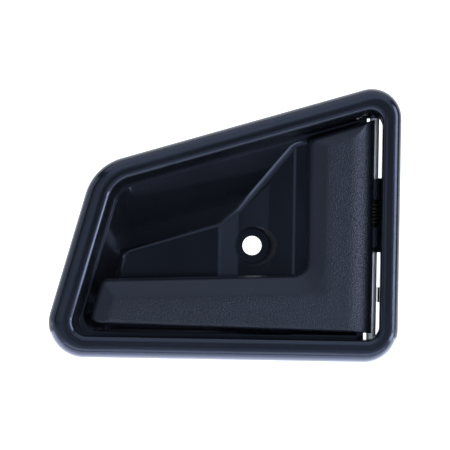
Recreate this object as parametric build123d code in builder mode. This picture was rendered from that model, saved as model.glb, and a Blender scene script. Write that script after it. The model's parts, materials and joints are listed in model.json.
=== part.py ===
"""Inside door handle: a trapezoid bezel with a finger cup, and an L-shaped lever hinged at its right edge.

Millimetres. X runs to the right, Z up and Y into the door. The origin is on the screw axis, on the seat of the
screw boss. Heights are measured from that seat toward the hand, along -Y.
"""

import math
import os

from build123d import *

os.makedirs("parts", exist_ok=True)

# Bezel outline: its four sides as they would meet without the corner rounds
BEZEL_LENGTH = 121.0
BEZEL_HEIGHT = 95.5
BEZEL_RIGHT = 49.2
BEZEL_BELOW = 38.6
TOP_SLANT = 16.7
LEFT_SLANT = 15.6
ROUND_LOW_LEFT = 12.0
ROUND_LOW_RIGHT = 11.5
ROUND_HIGH_RIGHT = 10.0
ROUND_HIGH_LEFT = 17.5

# Bezel section: the bead rises from a short flank to its crest and falls to the mouth of the cup
CREST = 27.0
BEAD_HEIGHT = 7.0
BEAD_FLANK = 2.0
CREST_LEFT = 5.2
CREST_LOW = 4.4
CREST_RIGHT = 3.0
CREST_TOP = 4.2
RIM_LEFT = 7.9
RIM_LOW = 7.8
RIM_RIGHT = 6.5
RIM_TOP = 6.9
BEAD_INNER = 1.9
BEZEL_WALL = 2.0
HOLLOW_ROUND = 2.0
BEZEL_RIB = 1.4
BEZEL_RIB_PITCH = 24.0
BEZEL_RIB_SETBACK = 1.0

# Finger cup
CUP_WALL = 1.8
ENTRY_LIFT = 1.2
ENTRY_LEAN_LEFT = 2.0
ENTRY_LEAN_LOW = 0.4
ENTRY_LEAN_TOP = 2.4
STEP = 0.6
CUP_FLOOR = 3.0
TOP_RUN = 20.3
LEFT_RUN = 6.4
LOW_RUN = 1.0
CUP_ROUND = 2.4
CORNER_LEAST = 4.0

# Ramp that carries the screw recess, in two facets, and the land behind the upright of the lever
RAMP_FOOT = -11.2
RAMP_BEND = -4.7
RAMP_EASY = 20.1
RAMP_STEEP = 33.8
RAMP_BLEND = 4.0
RAMP_CROWN = 2.2
LAND = 17.8

# Screw
SCREW_BORE = 3.3
RECESS_RADIUS = 5.7
RECESS_FLOOR = 4.8
RECESS_DRAFT = 14.0
BOSS_RADIUS = 8.8

# Hinge
PIN_INSET = 8.75
PIN_HEIGHT = 18.0
PIN_RADIUS = 1.6
PIN_RUNNING = 0.06
PIN_SEATED = 0.02
PIN_CHAMFER = 0.4
PIN_SETBACK = 0.2
TROUGH_SIDE = 4.8
TROUGH_DEPTH = 3.7
TROUGH_LOW_INSET = 7.6
TROUGH_HIGH_INSET = 10.4
WINDOW_SIDE = 2.3
WINDOW_GAP_LOW = -1.5
WINDOW_GAP_HIGH = 23.7
EAR_THICK = 1.6
EAR_RADIUS = 2.8
EAR_GAP = 1.3
EAR_LOW_THICK = 2.8
SADDLE_LOW = -18.2
SADDLE_HIGH = -13.2
SADDLE_GAP = 0.3
KNUCKLE_RADIUS = 2.6
KNUCKLE_GAP = 0.35
KNUCKLE_LOW = 0.2
KNUCKLE_HIGH = 23.2
KNUCKLE_LENGTH = 6.8

# Lever
FACE_SINK = 1.0
REAR_GAP = 1.0
LEVER_DRAFT = 5.0
LEVER_WALL = 2.2
LEVER_LEFT_INSET = 13.8
LEVER_TOP_INSET = 10.9
LEVER_TOP_LEAN = 1.2
LEG_TOP = -10.6
LEG_TOP_RISE = 2.2
LEG_BOTTOM = -27.4
LEG_BOTTOM_FALL = 1.0
UPRIGHT_LEFT = 18.8
HINGE_LAP = 0.5
HINGE_ROUND = 9.0
LEVER_CORNER = 2.6
CORNER_SHARP = 0.5
ELBOW_RADIUS = 5.5
BEVEL = 4.4
BEVEL_TOP = 2.2
BEVEL_DROP = 1.35
EDGE = 1.8
EDGE_LOW = 1.2
LEVER_RIB = 1.5
LEVER_RIB_PITCH = 14.0
LEVER_RIB_SETBACK = 1.0

# Arm that works the latch rod, and its slot in the housing
ARM_LOW = 1.2
ARM_THICK = 4.8
ARM_SIDE = 5.2
ARM_LAP = 0.4
ARM_REACH = 22.5
ROD_BORE = 2.5
ARM_END = 4.2
OPEN_ANGLE = 35.0
STOP_GAP = 0.25
SLOT_GAP = 0.8

# Return spring
WIRE = 0.45
COIL_RADIUS = 2.35
COIL_PITCH = 1.15
COIL_TURNS = 5.875
COIL_LOW = 8.4
LEG_OUT = 7.5
LEG_BACK = 6.7
BEND = 1.1
SPRING_GAP = 0.3
WEB_SIDE = 6.8

# Hooks on the back of the cup
HOOK_INSET = 28.8
HOOK_WIDTH = 8.0
HOOK_THICK = 3.0
HOOK_FOOT = 4.0
PANEL = 1.4
HOOK_HIGH = -7.0
HOOK_LOW = -23.0

# Pads that the lever comes to rest on
PAD = 2.6
PAD_GAP = 0.05

FAR = 200.0
BEZEL_LEFT = BEZEL_RIGHT - BEZEL_LENGTH
BEZEL_TOP = BEZEL_HEIGHT - BEZEL_BELOW
ROUNDS = (ROUND_LOW_LEFT, ROUND_LOW_RIGHT, ROUND_HIGH_RIGHT, ROUND_HIGH_LEFT)
LEFT_ROUNDS = (ROUND_LOW_LEFT, 0, 0, ROUND_HIGH_LEFT)
OUTLINE = (0, 0, 0, 0)
CRESTS = (CREST_LEFT, CREST_LOW, CREST_RIGHT, CREST_TOP)
RIMS = (RIM_LEFT, RIM_LOW, RIM_RIGHT, RIM_TOP)
TRIM = CREST - BEAD_HEIGHT
CUP_RIGHT = BEZEL_RIGHT - RIM_RIGHT
ENTRY_FOOT = LAND + ENTRY_LIFT
HOOK_X = BEZEL_LEFT + HOOK_INSET

PIN_X = BEZEL_RIGHT - PIN_INSET
TROUGH_LEFT = PIN_X - TROUGH_SIDE
TROUGH_RIGHT = PIN_X + KNUCKLE_RADIUS + KNUCKLE_GAP
TROUGH_FLOOR = PIN_HEIGHT - TROUGH_DEPTH
TROUGH_ROOF = TRIM + BEZEL_WALL
TROUGH_LOW = TROUGH_LOW_INSET - BEZEL_BELOW
TROUGH_HIGH = BEZEL_TOP - TROUGH_HIGH_INSET
WINDOW_LEFT = PIN_X - WINDOW_SIDE
PIN_LOW = TROUGH_LOW - EAR_LOW_THICK + PIN_SETBACK
PIN_HIGH = TROUGH_HIGH - PIN_SETBACK
EAR_HIGH = TROUGH_HIGH - EAR_GAP

FACE = CREST - FACE_SINK
LEVER_REAR = LAND + REAR_GAP
LEVER_RIGHT = PIN_X + HINGE_LAP
HINGE_FLANK = FACE - HINGE_ROUND / 2
HINGE_FLANK_RIGHT = LEVER_RIGHT - HINGE_ROUND * (1 - math.sqrt(3) / 2)
ARM_LEFT = PIN_X - ARM_SIDE
ARM_RIGHT = PIN_X + ARM_LAP
ROD_X = (ARM_LEFT + ARM_RIGHT) / 2
ROD_HEIGHT = PIN_HEIGHT - ARM_REACH
WEB_LEFT = PIN_X - WEB_SIDE
COIL_HIGH = COIL_LOW + COIL_PITCH * COIL_TURNS
OPEN_SINE = math.sin(math.radians(OPEN_ANGLE))
OPEN_COSINE = math.cos(math.radians(OPEN_ANGLE))

# Sides of the lever from its bottom round to its left end: the radius of the edge and the width of its bevel
LEVER_EDGES = (
    (EDGE_LOW, 0),
    (0, 0),
    (EDGE, BEVEL_TOP),
    (EDGE, BEVEL),
    (EDGE, BEVEL),
    (EDGE, BEVEL),
)

# The left edge of the slot stops the arm at the end of its travel
ARM_TOUCH = (PIN_HEIGHT - LAND + CUP_WALL + ARM_SIDE * OPEN_SINE) / OPEN_COSINE
SLOT_LEFT = PIN_X - ARM_SIDE * OPEN_COSINE - ARM_TOUCH * OPEN_SINE - STOP_GAP

# Height at which the upper leg of the spring crosses the middle of its web
LEG_HOLE = PIN_HEIGHT + WEB_SIDE - LEVER_RIB / 2 - COIL_RADIUS * math.sqrt(2)

# Sections across the hinge axis: local x is X and local y is the height
SECTION = Plane(origin=(0, 0, 0), x_dir=(1, 0, 0), z_dir=(0, 0, -1))

RAMP_BEND_HEIGHT = CUP_FLOOR + (RAMP_BEND - RAMP_FOOT) * math.tan(math.radians(RAMP_EASY))
RAMP_HEAD = RAMP_BEND + (LAND - RAMP_BEND_HEIGHT) / math.tan(math.radians(RAMP_STEEP))


def side(point, heading, inset):
    """The line through point at heading degrees, moved to its left by inset."""
    turn = math.radians(heading + 90)
    return point[0] + inset * math.cos(turn), point[1] + inset * math.sin(turn), heading


def meet(one, two):
    """The point where two such lines cross."""
    ux, uz = math.cos(math.radians(one[2])), math.sin(math.radians(one[2]))
    vx, vz = math.cos(math.radians(two[2])), math.sin(math.radians(two[2]))
    along = ((two[0] - one[0]) * vz - (two[1] - one[1]) * vx) / (ux * vz - uz * vx)
    return one[0] + along * ux, one[1] + along * uz


def slab(x_range, height_range, z_range, mode=Mode.ADD):
    """A block between the limits given on each axis."""
    middle = [(a + b) / 2 for a, b in (x_range, height_range, z_range)]
    with Locations((middle[0], -middle[1], middle[2])):
        Box(
            x_range[1] - x_range[0],
            height_range[1] - height_range[0],
            z_range[1] - z_range[0],
            mode=mode,
        )


def bezel_ring(left, low, right, high):
    """Corners of the bezel outline with each side moved in."""
    bottom = side((BEZEL_LEFT, -BEZEL_BELOW), 0, low)
    east = side((BEZEL_RIGHT, -BEZEL_BELOW), 90, right)
    top = side((BEZEL_RIGHT, BEZEL_TOP), 180 + TOP_SLANT, high)
    west = side((BEZEL_LEFT, -BEZEL_BELOW), 270 - LEFT_SLANT, left)
    return [meet(west, bottom), meet(bottom, east), meet(east, top), meet(top, west)]


def ring_face(height, insets, grow=0, rounds=ROUNDS):
    """The outline at a height with each side moved in, then grown outward and lowered by grow."""
    with BuildSketch(Plane.XZ.offset(height - grow)) as outline:
        with BuildLine():
            FilletPolyline(
                *bezel_ring(*[inset - grow for inset in insets]),
                radius=[r and max(r - sum(insets) / 4, CORNER_LEAST) + grow for r in rounds],
                close=True,
            )
        make_face()
    return outline.sketch.face()


def bead_face(angle):
    """The outline of the bead where its outer face has risen through an angle from the flank to the crest."""
    rise, run = math.sin(math.radians(angle)), math.cos(math.radians(angle))
    height = TRIM + BEAD_FLANK + (BEAD_HEIGHT - BEAD_FLANK) * rise
    return ring_face(height, [crest * (1 - run) for crest in CRESTS])


def cup_space(grow, top):
    """The space of the cup up to the height top, grown outward and downward by grow."""
    leans = (ENTRY_LEAN_LEFT, ENTRY_LEAN_LOW, 0, ENTRY_LEAN_TOP)
    runs = (LEFT_RUN, LOW_RUN, 0, TOP_RUN)
    steps = (STEP, STEP, 0, STEP)
    foot = [rim + lean for rim, lean in zip(RIMS, leans)]

    def slope(height):
        share = (ENTRY_FOOT - height) / (ENTRY_FOOT - CUP_FLOOR)
        return [inset + step + run * share for inset, step, run in zip(foot, steps, runs)]

    with BuildPart() as basin:
        loft([ring_face(height, slope(height), grow, LEFT_ROUNDS) for height in (0, CREST)], ruled=True)
        with BuildSketch(SECTION):
            with BuildLine():
                FilletPolyline(
                    (-FAR, CUP_FLOOR),
                    (RAMP_FOOT, CUP_FLOOR),
                    (RAMP_BEND, RAMP_BEND_HEIGHT),
                    (RAMP_HEAD, LAND),
                    (FAR, LAND),
                    (FAR, FAR),
                    (-FAR, FAR),
                    radius=(0, RAMP_BLEND, RAMP_BLEND, RAMP_CROWN, 0, 0, 0),
                    close=True,
                )
            make_face()
            if grow:
                offset(amount=grow, kind=Kind.INTERSECTION)
        extrude(amount=FAR, both=True, mode=Mode.INTERSECT)
        if not grow:
            floor = [f for f in basin.faces() if f.normal_at().Y > 0.5 and abs(f.normal_at().Z) < 0.02]
            borders = [edge for f in floor for edge in f.edges() if edge.center().X < CUP_RIGHT - 0.1]
            fillet([e for e in borders if sum(e.is_same(o) for o in borders) == 1], CUP_ROUND)
        slab((-FAR, FAR), (ENTRY_FOOT - grow, FAR), (-FAR, FAR), Mode.SUBTRACT)
    with BuildPart() as space:
        loft([ring_face(ENTRY_FOOT, foot, grow), ring_face(top + grow, RIMS, grow)], ruled=True)
        add(basin.part)
    return space.part


def edge_inset(radius, bevel, drop):
    """How far a side of the lever is moved in at a drop below its face, by its bevel and the round below."""
    fall = BEVEL_DROP if bevel else 0
    tilt = math.atan2(fall, bevel)
    if drop < fall:
        return radius * (1 - math.sin(tilt)) + bevel * (1 - drop / fall)
    above = max(fall + radius * math.cos(tilt) - drop, 0) if bevel else max(radius - drop, 0)
    return radius - math.sqrt(radius**2 - above**2)


def lever_face(height, shrink):
    """The outline of the lever at a height, with its skin taken in by shrink."""
    drop = FACE - shrink - height
    insets = [edge_inset(max(radius - shrink, 0), bevel, drop) for radius, bevel in LEVER_EDGES]
    spread = (FACE - height) * math.tan(math.radians(LEVER_DRAFT)) - shrink
    low, right, high, upright, leg, left = [spread - inset for inset in insets]
    sides = [
        side((0, LEG_BOTTOM), -LEG_BOTTOM_FALL, -low),
        side((LEVER_RIGHT + LEVER_WALL, 0), 90, -right),
        side((BEZEL_RIGHT, BEZEL_TOP), 180 + TOP_SLANT + LEVER_TOP_LEAN, LEVER_TOP_INSET - high),
        side((UPRIGHT_LEFT, 0), 270, -upright),
        side((0, LEG_TOP), 180 + LEG_TOP_RISE, -leg),
        side((BEZEL_LEFT, -BEZEL_BELOW), 270 - LEFT_SLANT, LEVER_LEFT_INSET - left),
    ]
    corner = [
        max(LEVER_CORNER - shrink - (insets[n - 1] + insets[n]) / 2, CORNER_SHARP) for n in range(len(sides))
    ]
    with BuildSketch(Plane.XZ.offset(height)) as outline:
        with BuildLine():
            FilletPolyline(
                *[meet(sides[n - 1], sides[n]) for n in range(len(sides))],
                radius=(corner[0], 0, 0, corner[3], ELBOW_RADIUS + shrink + insets[4], corner[5]),
                close=True,
            )
        make_face()
    return outline.sketch.face()


def lever_space(shrink, rear):
    """The lever as a full block down to the height rear, with its skin taken in by shrink."""
    face = FACE - shrink
    bevel_foot = face - BEVEL_DROP
    edge = max(EDGE - shrink, 0)
    with BuildPart() as block:
        loft([lever_face(height, shrink) for height in (rear, bevel_foot - edge)], ruled=True)
        if edge:
            loft([lever_face(bevel_foot - edge * share, shrink) for share in (1, 0.9, 0.7, 0.5, 0.3, 0.1, 0)])
        loft([lever_face(face - BEVEL_DROP * share, shrink) for share in (1, 0.8, 0.6, 0.4, 0.2, 0.06, 0)])
        with BuildSketch(SECTION):
            with BuildLine():
                FilletPolyline(
                    (-FAR, -FAR),
                    (LEVER_RIGHT - shrink, -FAR),
                    (LEVER_RIGHT - shrink, face),
                    (-FAR, face),
                    radius=(0, 0, HINGE_ROUND - shrink, 0),
                    close=True,
                )
            make_face()
        extrude(amount=FAR, both=True, mode=Mode.INTERSECT)
    return block.part


def along_hinge(radius, low, high, mode=Mode.ADD):
    """A round bar on the hinge axis."""
    with Locations((PIN_X, -PIN_HEIGHT, (low + high) / 2)):
        Cylinder(radius, high - low, mode=mode)


# Hollow under the bead, with its ribs left standing
with BuildPart() as hollow:
    extrude(ring_face(TRIM, [BEZEL_WALL for inset in OUTLINE]), BEAD_HEIGHT - BEZEL_WALL, (0, -1, 0))
    fillet(hollow.faces().sort_by(Axis.Y)[0].edges(), HOLLOW_ROUND)
    ribs = [HOOK_X + n * BEZEL_RIB_PITCH for n in range(4)]
    for x in ribs:
        slab(
            (x - BEZEL_RIB / 2, x + BEZEL_RIB / 2),
            (TRIM + BEZEL_RIB_SETBACK, CREST),
            (-FAR, FAR),
            Mode.SUBTRACT,
        )
    for z in (HOOK_LOW, HOOK_LOW + BEZEL_RIB_PITCH):
        slab(
            (-FAR, FAR),
            (TRIM + BEZEL_RIB_SETBACK, CREST),
            (z - BEZEL_RIB / 2, z + BEZEL_RIB / 2),
            Mode.SUBTRACT,
        )

cup_outside = cup_space(CUP_WALL, CREST - BEZEL_WALL / 2)
cup_inside = cup_space(0, CREST)

with BuildPart() as housing:
    extrude(ring_face(TRIM, OUTLINE), BEAD_FLANK, (0, -1, 0))
    loft([bead_face(angle) for angle in range(0, 91, 15)])
    add(hollow.part, mode=Mode.SUBTRACT)
    add(cup_outside)
    with BuildSketch(Plane.XZ):
        Circle(BOSS_RADIUS)
    extrude(amount=LAND)
    slab(
        (TROUGH_LEFT - CUP_WALL, TROUGH_RIGHT + CUP_WALL),
        (TROUGH_FLOOR - CUP_WALL, TROUGH_ROOF),
        (TROUGH_LOW - EAR_LOW_THICK, TROUGH_HIGH + CUP_WALL),
    )
    for z in (HOOK_LOW, HOOK_HIGH):
        slab(
            (HOOK_X, HOOK_X + HOOK_THICK),
            (-PANEL - HOOK_THICK, CUP_FLOOR - CUP_WALL / 2),
            (z - HOOK_WIDTH / 2, z + HOOK_WIDTH / 2),
        )
        slab(
            (HOOK_X - HOOK_FOOT, HOOK_X + HOOK_THICK),
            (-PANEL - HOOK_THICK, -PANEL),
            (z - HOOK_WIDTH / 2, z + HOOK_WIDTH / 2),
        )
    add(cup_inside, mode=Mode.SUBTRACT)
    fillet(housing.faces().sort_by(Axis.Y)[0].inner_wires()[0].edges(), BEAD_INNER)
    slab(
        (TROUGH_LEFT, TROUGH_RIGHT),
        (TROUGH_FLOOR, TROUGH_ROOF),
        (TROUGH_LOW, TROUGH_HIGH),
        Mode.SUBTRACT,
    )
    for z_range in ((TROUGH_LOW, WINDOW_GAP_LOW), (WINDOW_GAP_HIGH, TROUGH_HIGH)):
        slab((WINDOW_LEFT, TROUGH_RIGHT), (0, TROUGH_FLOOR), z_range, Mode.SUBTRACT)
    slab(
        (SLOT_LEFT, ARM_RIGHT + SLOT_GAP),
        (0, LAND),
        (ARM_LOW - SLOT_GAP, ARM_LOW + ARM_THICK + SLOT_GAP),
        Mode.SUBTRACT,
    )
    along_hinge(EAR_RADIUS, EAR_HIGH - EAR_THICK, EAR_HIGH)
    slab(
        (TROUGH_LEFT - CUP_WALL / 2, TROUGH_RIGHT + CUP_WALL / 2),
        (TROUGH_FLOOR - CUP_WALL, PIN_HEIGHT),
        (EAR_HIGH - EAR_THICK, EAR_HIGH),
    )
    slab(
        (PIN_X + PIN_RADIUS + SADDLE_GAP, TROUGH_RIGHT + CUP_WALL / 2),
        (TROUGH_FLOOR - CUP_WALL, PIN_HEIGHT + PIN_RADIUS),
        (SADDLE_LOW, SADDLE_HIGH),
    )
    for z in (KNUCKLE_LOW, KNUCKLE_HIGH):
        slab(
            (UPRIGHT_LEFT - PAD / 4, UPRIGHT_LEFT + PAD / 2),
            (LAND - CUP_WALL / 2, LEVER_REAR - PAD_GAP),
            (z, z + PAD),
        )
    along_hinge(PIN_RADIUS + PIN_SEATED, TROUGH_LOW - FAR, PIN_HIGH, Mode.SUBTRACT)
    with Locations((PIN_X - COIL_RADIUS, -TROUGH_FLOOR, COIL_LOW)):
        Cylinder(WIRE + SPRING_GAP, 2 * TROUGH_DEPTH, rotation=(90, 0, 0), mode=Mode.SUBTRACT)
    with BuildSketch(Plane.XZ.offset(RECESS_FLOOR)):
        Circle(RECESS_RADIUS)
    extrude(amount=LAND - RECESS_FLOOR, taper=-RECESS_DRAFT, mode=Mode.SUBTRACT)
    with BuildSketch(Plane.XZ):
        Circle(SCREW_BORE)
    extrude(amount=RECESS_FLOOR, mode=Mode.SUBTRACT)

# Hollow of the lever, with its ribs and hinge webs left standing
knuckles = (
    (KNUCKLE_LOW, KNUCKLE_LOW + KNUCKLE_LENGTH),
    (KNUCKLE_HIGH - KNUCKLE_LENGTH, KNUCKLE_HIGH),
)
with BuildPart() as core:
    add(lever_space(LEVER_WALL, LAND))
    for n in range(1, 5):
        x = UPRIGHT_LEFT - n * LEVER_RIB_PITCH
        slab(
            (x - LEVER_RIB / 2, x + LEVER_RIB / 2),
            (LEVER_REAR + LEVER_RIB_SETBACK, FACE),
            (-FAR, FAR),
            Mode.SUBTRACT,
        )
    for z in (LEG_TOP, sum(knuckles[0]) / 2, sum(knuckles[1]) / 2, KNUCKLE_HIGH + LEVER_RIB_PITCH / 2):
        slab(
            (UPRIGHT_LEFT, FAR),
            (LEVER_REAR + LEVER_RIB_SETBACK, FACE),
            (z - LEVER_RIB / 2, z + LEVER_RIB / 2),
            Mode.SUBTRACT,
        )
    slab(
        (WEB_LEFT, WEB_LEFT + LEVER_RIB),
        (LEVER_REAR, FACE),
        (sum(knuckles[0]) / 2, sum(knuckles[1]) / 2),
        Mode.SUBTRACT,
    )

with BuildPart() as lever:
    add(lever_space(0, LEVER_REAR))
    add(core.part, mode=Mode.SUBTRACT)
    along_hinge(PIN_RADIUS + SPRING_GAP, -FAR, FAR, Mode.SUBTRACT)
    for z_range in knuckles:
        along_hinge(KNUCKLE_RADIUS, *z_range)
        slab((PIN_X - KNUCKLE_RADIUS, HINGE_FLANK_RIGHT), (PIN_HEIGHT, HINGE_FLANK), z_range)
    with BuildSketch(SECTION.offset(-ARM_LOW - ARM_THICK)):
        with BuildLine():
            Polyline(
                (ARM_LEFT, FACE - LEVER_WALL),
                (ARM_LEFT, PIN_HEIGHT - ARM_REACH / 2),
                (ROD_X - ARM_END, ROD_HEIGHT),
                (ROD_X + ARM_END, ROD_HEIGHT),
                (ARM_RIGHT, PIN_HEIGHT - ARM_REACH / 2),
                (ARM_RIGHT, PIN_HEIGHT),
                (LEVER_RIGHT - LEVER_WALL, HINGE_FLANK),
                close=True,
            )
        make_face()
        with Locations((ROD_X, ROD_HEIGHT)):
            Circle(ARM_END)
            Circle(ROD_BORE, mode=Mode.SUBTRACT)
    extrude(amount=ARM_THICK)
    along_hinge(COIL_RADIUS + WIRE + SPRING_GAP, knuckles[0][1], knuckles[1][0], Mode.SUBTRACT)
    along_hinge(PIN_RADIUS + PIN_RUNNING, -FAR, FAR, Mode.SUBTRACT)
    slab(
        (WEB_LEFT - LEVER_RIB, WEB_LEFT + 2 * LEVER_RIB),
        (LEG_HOLE - 2 * WIRE - LEVER_RIB / 2, LEG_HOLE + 2 * WIRE + LEVER_RIB / 2),
        (COIL_HIGH - WIRE - SPRING_GAP, COIL_HIGH + WIRE + SPRING_GAP),
        Mode.SUBTRACT,
    )

with BuildPart() as hinge_pin:
    along_hinge(PIN_RADIUS, PIN_LOW, PIN_HIGH)
    chamfer(hinge_pin.edges().filter_by(GeomType.CIRCLE), PIN_CHAMFER)

with BuildLine() as coil:
    Helix(COIL_PITCH, COIL_HIGH - COIL_LOW, COIL_RADIUS)
wire = coil.edge().moved(Location((PIN_X, -PIN_HEIGHT, COIL_LOW), (0, 0, 180)))

with BuildPart() as return_spring:
    with BuildSketch(Plane(origin=wire @ 0, z_dir=wire % 0)):
        Circle(WIRE)
    sweep(path=wire, is_frenet=True)
    with Locations(wire @ 0, wire @ 1):
        Sphere(BEND * WIRE)
    with Locations(Plane(origin=wire @ 0, z_dir=(0, 1, 0))):
        Cylinder(WIRE, LEG_BACK, align=(Align.CENTER, Align.CENTER, Align.MIN))
    with Locations(Plane(origin=wire @ 1, z_dir=(-1, -1, 0))):
        Cylinder(WIRE, LEG_OUT, align=(Align.CENTER, Align.CENTER, Align.MIN))

housing.part.label = "housing"
lever.part.label = "lever"
hinge_pin.part.label = "hinge_pin"
return_spring.part.label = "return_spring"

export_step(housing.part, "parts/housing.step")
export_step(lever.part, "parts/lever.step")
export_step(hinge_pin.part, "parts/hinge_pin.step")
export_step(return_spring.part, "parts/return_spring.step")
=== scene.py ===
"""Looks of the inside door handle: finishes, return spring, pale set, soft lights and the photo's view."""

import json
import math
from collections import namedtuple

import bmesh
import bpy
from mathutils import Matrix, Vector


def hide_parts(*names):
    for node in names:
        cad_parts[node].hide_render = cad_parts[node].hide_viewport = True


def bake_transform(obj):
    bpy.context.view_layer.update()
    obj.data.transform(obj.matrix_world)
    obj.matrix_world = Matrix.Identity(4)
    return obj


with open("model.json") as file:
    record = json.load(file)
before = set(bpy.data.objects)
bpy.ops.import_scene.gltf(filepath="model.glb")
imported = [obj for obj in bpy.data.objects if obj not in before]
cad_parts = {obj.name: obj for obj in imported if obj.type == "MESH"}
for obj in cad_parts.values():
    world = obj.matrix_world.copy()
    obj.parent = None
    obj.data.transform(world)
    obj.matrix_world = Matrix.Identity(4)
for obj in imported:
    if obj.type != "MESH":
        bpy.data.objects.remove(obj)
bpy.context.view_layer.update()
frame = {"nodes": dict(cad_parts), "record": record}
hinge = frame["record"]["behaviour"]["joints"][0]

# Directions of the part's frame
RIGHT = (1, 0, 0)
LEFT = (-1, 0, 0)
INWARD = (0, 1, 0)
TO_VIEWER = (0, -1, 0)
UP = (0, 0, 1)
DOWN = (0, 0, -1)

# A straight edge: the way in across it, its place along that, and how far in an effect starts and is full
Edge = namedtuple("Edge", "across place start full")

# View of the photograph, from straight ahead, with the part turned a little in the picture
VIEW_WIDTH = 0.15075
VIEW_CENTRE = (-0.0094, 0.0069)
VIEW_PLANE = -0.023
VIEW_DISTANCE = 0.7
VIEW_ROLL = math.radians(1.0)
VIEW_CLIP = (0.01, 20.0)
SENSOR = 36.0

# Pale set: a floor that bends up into a wall, and the stretch where its glow starts to show in reflections
FLOOR_LEVEL = -0.105
WALL_DISTANCE = 1.3
SET_HALF_WIDTH = 2.2
SET_FRONT = -1.6
SET_BEND = 0.3
BEND_STEPS = 12
SET_COLOUR = (0.76, 0.76, 0.78, 1)
SET_GLOW = 0.9
GLOW_COLOUR = (1, 1, 1, 1)
GLOW_STRETCH = (-0.22, -0.1)
MATT = 0.9

# Dark card on the floor, seen only in reflections as painted shade of the part on the floor: half its width,
# its front and back, and its lift
CARD_HALF_WIDTH = 0.13
CARD_FRONT = -0.074
CARD_BACK = -0.03
CARD_LIFT = 0.001
# Its dark colour is painted shade, seen only in reflections
REFLECTED_SHADE_COLOUR = (0.12, 0.12, 0.13, 1)

# Room: its brightness by degrees away from the viewer, and its brightness as a background
ROOM_COLOUR = (0.8, 0.9, 1.0, 1)
ROOM = ((65, 0.2), (52, 0.75), (40, 0.85), (25, 1.1), (12, 0.85), (5, 0.17))
BACKGROUND = 1.25

# Lamps: the place, aim, size and radiance of each
COOL_WHITE = (0.84, 0.88, 1.0)
LAMPS = {
    "right_lamp": ((0.82, -0.37, 0.1), (-0.01, -0.02, 0.005), (0.62, 0.8), 7.0),
    "light_table": ((-0.01, 0.018, -0.05), (-0.01, 0.018, 0.0), (0.24, 0.104), 4.5),
    "top_panel": ((0.0, -0.13, 0.62), (0.0, -0.13, 0.0), (1.2, 0.46), 1.3),
    "top_front": ((0.0, -0.75, 0.62), (0.0, -0.6, 0.0), (1.2, 0.78), 0.7),
    "left_wall": ((-0.62, 0.08, 0.03), (0.0, 0.08, 0.0), (0.5, 0.8), 1.1),
    "low_front": ((-0.01, -0.1, -0.103), (-0.01, -0.1, 0.0), (0.26, 0.05), 2.0),
    "low_right": ((0.34, -0.2, -0.103), (0.34, -0.2, 0.0), (0.3, 0.26), 10.0),
}

# What the finishes share: the plastics' index of refraction, and the detail of fine and of cloudy noise
PLASTIC_IOR = 1.5
FINE = 2.0
CLOUDY = 3.0

# Satin plastic of the housing: blacks, sheen, clouds to a metre, roughness, and its relief and rounded edges
HOUSING_BLACKS = ((0.0034, 0.0041, 0.0055), (0.0046, 0.0055, 0.0074))
HOUSING_SHEEN = (0.6, 0.7, 1.0, 1)
HOUSING_CLOUDS = 60.0
CLOUD_SPAN = (0.3, 0.7)
HOUSING_ROUGHNESS = (0.13, 0.19)
HOUSING_GRIT = 5200.0
HOUSING_RELIEF = {"Strength": 0.06, "Distance": 0.00002}
HOUSING_ROUNDING = {"samples": 4, "Radius": 0.00025}

# Matt wall of the screw recess: its taper, and the reaches from the axis between which it starts and ends
RECESS_ROUGHNESS = 0.7
RECESS_TAPER = math.tan(math.radians(14.0))
RECESS_FOOT = (0.0042, 0.0044)
RECESS_EDGE = (0.0046, 0.0049)

# The slope of the cup: the ways up and down it, its foot, its left side and the ramp diagonal on its right
SLOPE_UP = (-0.2667, 0, 0.9638)
SLOPE_DOWN = (0.2667, 0, -0.9638)
SLOPE_FOOT = 0.0092
RAMP_LINE = 0.0114
SLOPE_LEFT = Edge(RIGHT, -0.047, 0, 0.001)
SLOPE_RIGHT = Edge((-0.713, 0, 0.701), RAMP_LINE, 0.0004, 0.0014)

# A dull and a glossy band of the slope, which rise and fall between two pairs of heights above its foot
DULL_BAND = ((0.0002, 0.001), (0.002, 0.0135))
DULL_ROUGHNESS = 0.4
GLOSS_BAND = ((0.004, 0.014), (0.0205, 0.0215))
GLOSS_SHARE = 0.7

# Duller band of the ramp: its edges at the ramp's bend, toward the lever, at the diagonal and below
RAMP_ROUGHNESS = 0.58
RAMP_BAND = (
    Edge(RIGHT, -0.0049, 0, 0.0003),
    Edge(LEFT, -0.0078, 0, 0.005),
    Edge((0.713, 0, -0.701), -RAMP_LINE, 0.0002, 0.0009),
    Edge(UP, -0.029, 0, 0.001),
)

# Grained plastic of the lever: blacks, sheen, clouds to a metre, roughness and rounded edges
LEVER_BLACKS = ((0.005, 0.006, 0.0088), (0.007, 0.0085, 0.012))
LEVER_SHEEN = (0.7, 0.77, 1.0, 1)
LEVER_SPECULAR = 0.33
LEVER_CLOUDS = 120.0
LEVER_ROUGHNESS = (0.38, 0.42)
LEVER_ROUNDING = {"samples": 6, "Radius": 0.0009}

# Its leather grain: how far the pattern wanders, pebbles and folds to a metre, their reach and the relief
WANDERS = 900.0
WANDER_REACH = (0.0004, 0.0004, 0.0004)
PEBBLES = 2000.0
PEBBLE_SOFTNESS = 0.6
PEBBLE_REACH = 0.8
FOLDS = 1050.0
FOLD_REACH = 0.12
FOLD_HEIGHT = 0.4
GRAIN_RELIEF = {"Strength": 0.9, "Distance": 0.00013}

# Edges of the lever's face that the grain fades out toward, and the tilts away from the viewer that end it
UPRIGHT_BORDER = Edge(RIGHT, 0.0188, 0.0025, 0.0085)
LEG_BORDER = Edge((0.0384, 0, -1), 0.0106, 0.0025, 0.0085)
END_BORDER = Edge((0.9632, 0, -0.2689), -0.0450, 0.0015, 0.007)
TOP_BORDER = Edge((0.3074, 0, -0.9516), -0.0281, 0.0005, 0.005)
FACE_TILT = (-0.75, -0.45)

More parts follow.
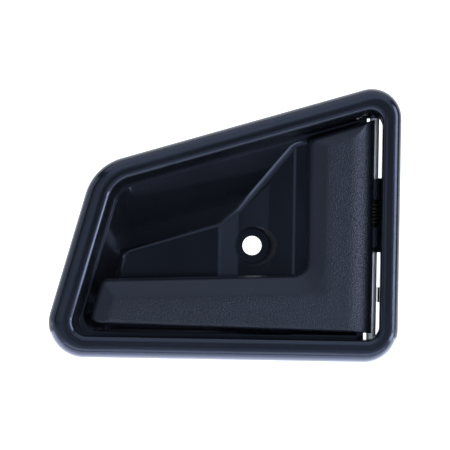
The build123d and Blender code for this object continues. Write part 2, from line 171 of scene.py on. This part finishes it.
# Drawn steel: streaks to a metre each way, relief, and the tones and roughness of the pin and the spring
STREAKS = (9000.0, 9000.0, 250.0)
STEEL_RELIEF = {"Strength": 0.15, "Distance": 0.00001}
PIN_TONES = ((0.8, 0.81, 0.83), (0.92, 0.93, 0.95))
PIN_ROUGHNESS = (0.5, 0.62)
SPRING_TONES = ((0.004, 0.004, 0.0045), (0.01, 0.01, 0.011))
SPRING_ROUGHNESS = (0.5, 0.65)

# Painted shade on the steel inside the lever's knuckles, a dark colour where shade falls between the parts:
# its colour, and its lower and upper edge
KNUCKLE_SHADE_TONE = (0.02, 0.02, 0.018, 1)
SHADED_KNUCKLE_EDGES = (Edge(UP, -0.002, 0, 0.001), Edge(DOWN, -0.0235, 0, 0.001))

# Return spring, as it lies round the hinge pin
PIN_X, PIN_Y, _ = hinge["pos_m"]
COIL_LOW = hinge["deforming_nodes"][0]["fixed_end_z_m"]
WIRE_RADIUS = 0.00045
WIRE_SIDES = 12
COIL_RADIUS = 0.00235
COIL_PITCH = 0.00115
COIL_TURNS = 5.875
TURN_STEPS = 28
LEG_OUT = 0.0075
LEG_AWAY = (-1, -1, 0)
LEG_BACK = 0.0067
LEG_STEPS = 6


def add_object(name, data):
    """A new object in the scene."""
    made = bpy.data.objects.new(name, data)
    bpy.context.scene.collection.objects.link(made)
    return made


def smooth_object(name, mesh):
    """A smooth object in the scene, from an edit mesh that this uses up."""
    data = bpy.data.meshes.new(name)
    mesh.to_mesh(data)
    mesh.free()
    data.shade_smooth()
    return add_object(name, data)


def set_material(made, material):
    """Gives an object one material."""
    made.data.materials.clear()
    made.data.materials.append(material)


def new_material(name):
    """A new node material with its tree and its principled shader."""
    material = bpy.data.materials.new(name)
    material.use_nodes = True
    tree = material.node_tree
    return material, tree, tree.nodes["Principled BSDF"]


def link(tree, source, target):
    """Joins an output to an input."""
    tree.links.new(source, target)


def node(tree, kind, **values):
    """A shader node with its properties or input sockets set."""
    made = tree.nodes.new(kind)
    for key, value in values.items():
        if hasattr(made, key):
            setattr(made, key, value)
        else:
            made.inputs[key.replace("_", " ")].default_value = value
    return made


def ramp(tree, source, low, high, start=0.0, stop=1.0):
    """A linear map of a value from start..stop to low..high."""
    made = node(tree, "ShaderNodeMapRange", From_Min=start, From_Max=stop, To_Min=low, To_Max=high)
    link(tree, source, made.inputs["Value"])
    return made.outputs["Result"]


def tint(tree, source, dark, light):
    """A colour between two, picked by a value from 0 to 1."""
    made = node(tree, "ShaderNodeMix", data_type="RGBA", A=(*dark, 1), B=(*light, 1))
    link(tree, source, made.inputs["Factor"])
    return made.outputs["Result"]


def combine(tree, operation, one, two):
    """Two values joined by a sum, a difference, a product or the larger of them."""
    made = node(tree, "ShaderNodeMath", operation=operation)
    link(tree, one, made.inputs[0])
    link(tree, two, made.inputs[1])
    return made.outputs["Value"]


def place(tree):
    """Coordinates that stay with the piece, in metres."""
    return node(tree, "ShaderNodeTexCoord").outputs["Object"]


def along(tree, vector, way):
    """How far a vector reaches along a way."""
    made = node(tree, "ShaderNodeVectorMath", operation="DOT_PRODUCT")
    made.inputs[1].default_value = way
    link(tree, vector, made.inputs[0])
    return made.outputs["Value"]


def scaled(tree, vector, factors):
    """A vector with each coordinate multiplied by a factor of its own."""
    made = node(tree, "ShaderNodeVectorMath", operation="MULTIPLY")
    made.inputs[1].default_value = factors
    link(tree, vector, made.inputs[0])
    return made.outputs["Vector"]


def noise(tree, where, scale, detail):
    """A cloudy value from 0 to 1."""
    made = node(tree, "ShaderNodeTexNoise", Scale=scale, Detail=detail)
    link(tree, where, made.inputs["Vector"])
    return made.outputs["Fac"]


def within(tree, where, edge):
    """Rises from 0 to 1 inside a straight edge."""
    start, full = edge.place + edge.start, edge.place + edge.full
    made = node(tree, "ShaderNodeMapRange", interpolation_type="SMOOTHSTEP", From_Min=start, From_Max=full)
    link(tree, along(tree, where, edge.across), made.inputs["Value"])
    return made.outputs["Result"]


def overlap(tree, where, edges):
    """1 inside all of several straight edges."""
    inside = within(tree, where, edges[0])
    for edge in edges[1:]:
        inside = combine(tree, "MULTIPLY", inside, within(tree, where, edge))
    return inside


def relief(tree, shader, height, bump, rounding=None):
    """Fine relief, and edges that the shading rounds where a rounding is given."""
    made = node(tree, "ShaderNodeBump", **bump)
    link(tree, height, made.inputs["Height"])
    if rounding:
        bevel = node(tree, "ShaderNodeBevel", **rounding)
        link(tree, bevel.outputs["Normal"], made.inputs["Normal"])
    link(tree, made.outputs["Normal"], shader.inputs["Normal"])


def recess_reach(tree, where):
    """Distance from the screw's axis, less the taper of the recess, so that its wall has one value."""
    reach = node(tree, "ShaderNodeVectorMath", operation="LENGTH")
    link(tree, scaled(tree, where, (1, 0, 1)), reach.inputs[0])
    taper = along(tree, where, (0, RECESS_TAPER, 0))
    return combine(tree, "ADD", reach.outputs["Value"], taper)


def slope_band(tree, where, rise, fall):
    """1 on a band of the cup's slope that rises and falls between two pairs of heights above its foot."""
    end = [-height for height in reversed(fall)]
    low_edge = Edge(SLOPE_UP, SLOPE_FOOT, *rise)
    high_edge = Edge(SLOPE_DOWN, -SLOPE_FOOT, *end)
    return overlap(tree, where, (low_edge, high_edge, SLOPE_LEFT, SLOPE_RIGHT))


def satin_plastic():
    """Black moulded plastic with a satin polish, a faint cloudiness, duller bands and a matt recess wall."""
    material, tree, shader = new_material("satin_plastic")
    where = place(tree)
    cloud = noise(tree, where, HOUSING_CLOUDS, CLOUDY)
    link(tree, tint(tree, cloud, *HOUSING_BLACKS), shader.inputs["Base Color"])
    gloss = ramp(tree, slope_band(tree, where, *GLOSS_BAND), 1.0, GLOSS_SHARE)
    polish = combine(tree, "MULTIPLY", ramp(tree, cloud, *HOUSING_ROUGHNESS, *CLOUD_SPAN), gloss)
    foot = ramp(tree, slope_band(tree, where, *DULL_BAND), 0.0, DULL_ROUGHNESS)
    reach = recess_reach(tree, where)
    outside = ramp(tree, reach, 0.0, 1.0, *RECESS_EDGE)
    band = combine(tree, "MULTIPLY", overlap(tree, where, RAMP_BAND), outside)
    wall = combine(tree, "SUBTRACT", ramp(tree, reach, 0.0, 1.0, *RECESS_FOOT), outside)
    dull = combine(tree, "MAXIMUM", foot, ramp(tree, band, 0.0, RAMP_ROUGHNESS))
    dull = combine(tree, "MAXIMUM", dull, ramp(tree, wall, 0.0, RECESS_ROUGHNESS))
    link(tree, combine(tree, "MAXIMUM", polish, dull), shader.inputs["Roughness"])
    shader.inputs["IOR"].default_value = PLASTIC_IOR
    shader.inputs["Specular Tint"].default_value = HOUSING_SHEEN
    relief(tree, shader, noise(tree, where, HOUSING_GRIT, FINE), HOUSING_RELIEF, HOUSING_ROUNDING)
    return material


def leather(tree, where):
    """Height of a leather grain: soft pebbles, and folds between larger patches of them."""
    wander = node(tree, "ShaderNodeTexNoise", Scale=WANDERS, Detail=FINE)
    link(tree, where, wander.inputs["Vector"])
    shift = node(tree, "ShaderNodeVectorMath", operation="MULTIPLY_ADD")
    shift.inputs[1].default_value = WANDER_REACH
    link(tree, wander.outputs["Color"], shift.inputs[0])
    link(tree, where, shift.inputs[2])
    cells = node(
        tree, "ShaderNodeTexVoronoi", feature="SMOOTH_F1", Scale=PEBBLES, Smoothness=PEBBLE_SOFTNESS
    )
    link(tree, shift.outputs["Vector"], cells.inputs["Vector"])
    patches = node(tree, "ShaderNodeTexVoronoi", feature="DISTANCE_TO_EDGE", Scale=FOLDS)
    link(tree, shift.outputs["Vector"], patches.inputs["Vector"])
    pebble = ramp(tree, cells.outputs["Distance"], 1.0, 0.0, 0.0, PEBBLE_REACH)
    fold = ramp(tree, patches.outputs["Distance"], 0.0, FOLD_HEIGHT, 0.0, FOLD_REACH)
    return combine(tree, "ADD", pebble, fold)


def grained_face(tree, where):
    """1 on the lever's face, fading out toward its edges, and 0 on its sides."""
    normal = node(tree, "ShaderNodeTexCoord").outputs["Normal"]
    front = ramp(tree, along(tree, normal, INWARD), 1.0, 0.0, *FACE_TILT)
    upright = within(tree, where, UPRIGHT_BORDER)
    leg = within(tree, where, LEG_BORDER)
    face = combine(tree, "MULTIPLY", front, combine(tree, "MAXIMUM", upright, leg))
    return combine(tree, "MULTIPLY", face, overlap(tree, where, (END_BORDER, TOP_BORDER)))


def grained_plastic():
    """Black moulded plastic with a leather grain on the face and smooth sides."""
    material, tree, shader = new_material("grained_plastic")
    where = place(tree)
    face = grained_face(tree, where)
    cloud = noise(tree, where, LEVER_CLOUDS, CLOUDY)
    link(tree, tint(tree, cloud, *LEVER_BLACKS), shader.inputs["Base Color"])
    link(tree, ramp(tree, face, *LEVER_ROUGHNESS), shader.inputs["Roughness"])
    shader.inputs["IOR"].default_value = PLASTIC_IOR
    shader.inputs["Specular IOR Level"].default_value = LEVER_SPECULAR
    shader.inputs["Specular Tint"].default_value = LEVER_SHEEN
    grain = combine(tree, "MULTIPLY", leather(tree, where), face)
    relief(tree, shader, grain, GRAIN_RELIEF, LEVER_ROUNDING)
    return material


def steel(name, tones, roughness):
    """Drawn steel: streaks along the hinge axis, and painted shade, a dark colour, inside the knuckles."""
    material, tree, shader = new_material(name)
    where = place(tree)
    streak = noise(tree, scaled(tree, where, STREAKS), 1.0, CLOUDY)
    # Dark colour painted as shade on the steel inside the knuckles
    knuckle_shade_mix = node(tree, "ShaderNodeMix", data_type="RGBA", B=KNUCKLE_SHADE_TONE)
    link(tree, overlap(tree, where, SHADED_KNUCKLE_EDGES), knuckle_shade_mix.inputs["Factor"])
    link(tree, tint(tree, streak, *tones), knuckle_shade_mix.inputs["A"])
    link(tree, knuckle_shade_mix.outputs["Result"], shader.inputs["Base Color"])
    link(tree, ramp(tree, streak, *roughness), shader.inputs["Roughness"])
    shader.inputs["Metallic"].default_value = 1.0
    relief(tree, shader, streak, STEEL_RELIEF)
    return material


def spring_path():
    """The line of the spring's wire: leg into the housing, coil, leg through the lever's web."""
    steps = round(COIL_TURNS * TURN_STEPS)
    centre = Vector((PIN_X, PIN_Y, COIL_LOW))
    coil = []
    for n in range(steps + 1):
        turn = math.pi + 2 * math.pi * COIL_TURNS * n / steps
        rise = COIL_PITCH * COIL_TURNS * n / steps
        coil.append(centre + Vector((COIL_RADIUS * math.cos(turn), COIL_RADIUS * math.sin(turn), rise)))
    back = [coil[0] + Vector((0, LEG_BACK * k / LEG_STEPS, 0)) for k in range(LEG_STEPS, 0, -1)]
    away = Vector(LEG_AWAY).normalized()
    out = [coil[-1] + away * (LEG_OUT * k / LEG_STEPS) for k in range(1, LEG_STEPS + 1)]
    return back + coil + out


def tube(name, path, radius, sides):
    """A closed round tube along a path, with flat ends."""
    mesh = bmesh.new()
    rings = []
    normal = Vector(UP)
    for n, point in enumerate(path):
        ahead = path[min(n + 1, len(path) - 1)] - path[max(n - 1, 0)]
        ahead.normalize()
        normal = (normal - ahead * normal.dot(ahead)).normalized()
        across = ahead.cross(normal)
        ring = []
        for k in range(sides):
            turn = 2 * math.pi * k / sides
            outward = math.cos(turn) * normal + math.sin(turn) * across
            ring.append(mesh.verts.new(point + radius * outward))
        rings.append(ring)
    for low, high in zip(rings, rings[1:]):
        for k in range(sides):
            mesh.faces.new((low[k], low[(k + 1) % sides], high[(k + 1) % sides], high[k]))
    mesh.faces.new(list(reversed(rings[0])))
    mesh.faces.new(rings[-1])
    bmesh.ops.recalc_face_normals(mesh, faces=mesh.faces)
    return smooth_object(name, mesh)


def pale_floor():
    """Matt white that glows to the camera, and in reflections from the stretch where its glow starts."""
    material, tree, shader = new_material("pale_floor")
    shader.inputs["Base Color"].default_value = SET_COLOUR
    shader.inputs["Roughness"].default_value = MATT
    shader.inputs["Emission Color"].default_value = GLOW_COLOUR
    path = node(tree, "ShaderNodeLightPath")
    behind = ramp(tree, along(tree, place(tree), INWARD), 0.0, 1.0, *GLOW_STRETCH)
    mirrored = combine(tree, "MULTIPLY", path.outputs["Is Glossy Ray"], behind)
    seen = combine(tree, "MAXIMUM", path.outputs["Is Camera Ray"], mirrored)
    link(tree, ramp(tree, seen, 0.0, SET_GLOW), shader.inputs["Emission Strength"])
    return material


def pale_set():
    """A pale floor that turns up into a wall behind the part."""
    profile = [(SET_FRONT, FLOOR_LEVEL)]
    for k in range(BEND_STEPS + 1):
        turn = math.radians(90 * k / BEND_STEPS)
        profile.append((
            WALL_DISTANCE - SET_BEND + SET_BEND * math.sin(turn),
            FLOOR_LEVEL + SET_BEND - SET_BEND * math.cos(turn),
        ))
    profile.append((WALL_DISTANCE, FLOOR_LEVEL + 2 * SET_HALF_WIDTH))
    mesh = bmesh.new()
    left = [mesh.verts.new((-SET_HALF_WIDTH, y, z)) for y, z in profile]
    right = [mesh.verts.new((SET_HALF_WIDTH, y, z)) for y, z in profile]
    for n in range(len(profile) - 1):
        mesh.faces.new((left[n], right[n], right[n + 1], left[n + 1]))
    made = smooth_object("pale_set", mesh)
    set_material(made, pale_floor())


def reflected_shade_card():
    """A narrow dark card on the floor below the part, seen only in reflections as painted shade, which keeps
    the floor's glare out of the cup.
    """
    half, level = CARD_HALF_WIDTH, FLOOR_LEVEL + CARD_LIFT
    corners = [(-half, CARD_FRONT), (half, CARD_FRONT), (half, CARD_BACK), (-half, CARD_BACK)]
    data = bpy.data.meshes.new("reflected_shade_card")
    data.from_pydata([(x, y, level) for x, y in corners], [], [(0, 1, 2, 3)])
    made = add_object("reflected_shade_card", data)
    made.visible_camera = False
    made.visible_diffuse = False
    made.visible_shadow = False
    material, _, shader = new_material("reflected_shade_card_finish")
    # The card's dark colour is painted shade on the floor under the part, seen only in reflections.
    shader.inputs["Base Color"].default_value = REFLECTED_SHADE_COLOUR
    shader.inputs["Roughness"].default_value = MATT
    set_material(made, material)


def room():
    """A dim room, lighter in a ring round the viewer than straight ahead, and white as a background."""
    world = bpy.data.worlds.new("room")
    world.use_nodes = True
    tree = world.node_tree
    background = tree.nodes["Background"]
    background.inputs["Color"].default_value = ROOM_COLOUR
    level = node(tree, "ShaderNodeValToRGB")
    stops = level.color_ramp.elements
    for angle, value in ROOM:
        stop = stops.new(math.cos(math.radians(angle)))
        stop.color = (value, value, value, 1)
    stops.remove(stops[0])
    stops.remove(stops[-1])
    direction = node(tree, "ShaderNodeTexCoord").outputs["Generated"]
    link(tree, along(tree, direction, TO_VIEWER), level.inputs["Fac"])
    seen = node(tree, "ShaderNodeLightPath").outputs["Is Camera Ray"]
    white = ramp(tree, seen, 0.0, BACKGROUND)
    link(tree, combine(tree, "MAXIMUM", level.outputs["Color"], white), background.inputs["Strength"])
    bpy.context.scene.world = world


def softbox(name, where, aim, size, radiance):
    """A soft rectangular lamp that points at a place and is equally bright all over."""
    lamp = bpy.data.lights.new(name, "AREA")
    lamp.shape = "RECTANGLE"
    lamp.size, lamp.size_y = size
    lamp.energy = radiance * math.pi * size[0] * size[1]
    lamp.color = COOL_WHITE
    made = add_object(name, lamp)
    made.location = where
    made.rotation_euler = (Vector(aim) - Vector(where)).to_track_quat("-Z", "Y").to_euler()
    made.visible_camera = False


def photo_camera():
    """The camera of the photograph's view."""
    data = bpy.data.cameras.new("view")
    data.sensor_width = SENSOR
    data.lens = SENSOR * VIEW_DISTANCE / VIEW_WIDTH
    data.clip_start, data.clip_end = VIEW_CLIP
    made = add_object("view", data)
    right = Vector((math.cos(VIEW_ROLL), 0, math.sin(VIEW_ROLL)))
    up = Vector((-math.sin(VIEW_ROLL), 0, math.cos(VIEW_ROLL)))
    back = right.cross(up)
    turn = Matrix((right, up, back)).transposed().to_4x4()
    where = Vector((VIEW_CENTRE[0], VIEW_PLANE - VIEW_DISTANCE, VIEW_CENTRE[1]))
    made.matrix_world = Matrix.Translation(where) @ turn
    bpy.context.scene.camera = made


set_material(frame["nodes"]["housing"], satin_plastic())
set_material(frame["nodes"]["lever"], grained_plastic())
set_material(frame["nodes"]["hinge_pin"], steel("pin_steel", PIN_TONES, PIN_ROUGHNESS))

spring = tube("return_spring_wire", spring_path(), WIRE_RADIUS, WIRE_SIDES)
set_material(spring, steel("spring_steel", SPRING_TONES, SPRING_ROUGHNESS))
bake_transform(spring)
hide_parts("return_spring")

pale_set()
reflected_shade_card()
room()
for lamp_name, settings in LAMPS.items():
    softbox(lamp_name, *settings)
photo_camera()
bpy.context.scene.view_settings.view_transform = "Standard"
